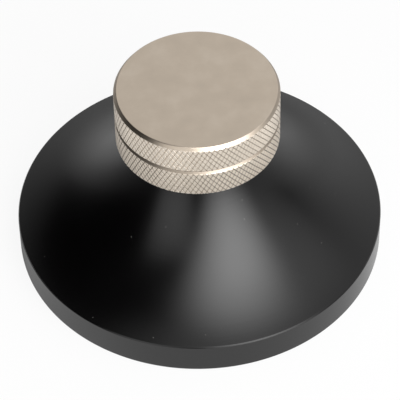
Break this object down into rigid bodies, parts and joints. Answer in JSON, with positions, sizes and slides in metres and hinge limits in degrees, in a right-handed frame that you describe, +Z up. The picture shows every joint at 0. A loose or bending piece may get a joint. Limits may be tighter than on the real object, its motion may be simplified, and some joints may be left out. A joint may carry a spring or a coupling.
{
  "type": "record clamp",
  "caption": "Record clamp: a flared black base, a knurled metal knob on its neck and, inside, a split collet that the knob draws up a taper to grip a turntable spindle.",
  "frame": {"origin": "centre of the underside, level with the ring that rests on the record", "axes": "+Z up the spindle, +X square to the two flats on the collet's shank, +Y away from the viewer of the picture"},
  "size_m": [0.09, 0.09, 0.05],
  "materials": {
    "black_acetal": "satin, as turned",
    "nickel": "satin nickel on a turned and knurled knob",
    "brass": "as turned",
    "spring_steel": "drawn wire"
  },
  "bodies": {
    "base": {"base": "black_acetal", "return_spring": "spring_steel"},
    "knob": {"knob": "nickel"},
    "collet": {"collet": "brass"}
  },
  "joints": [
    {"name": "knob_turn", "type": "hinge", "parent": "base", "child": "knob", "pos_m": [0, 0, 0.0347], "axis": [0, 0, -1], "range_deg": [0, 360]},
    {"name": "collet_lift", "type": "slide", "parent": "base", "child": "collet", "axis": [0, 0, 1], "range_m": [0, 0.001], "deforming": ["return_spring"]}
  ],
  "couplings": [
    {"joint": "collet_lift", "follows": "knob_turn", "m_per_rad": 0.00015915}
  ]
}
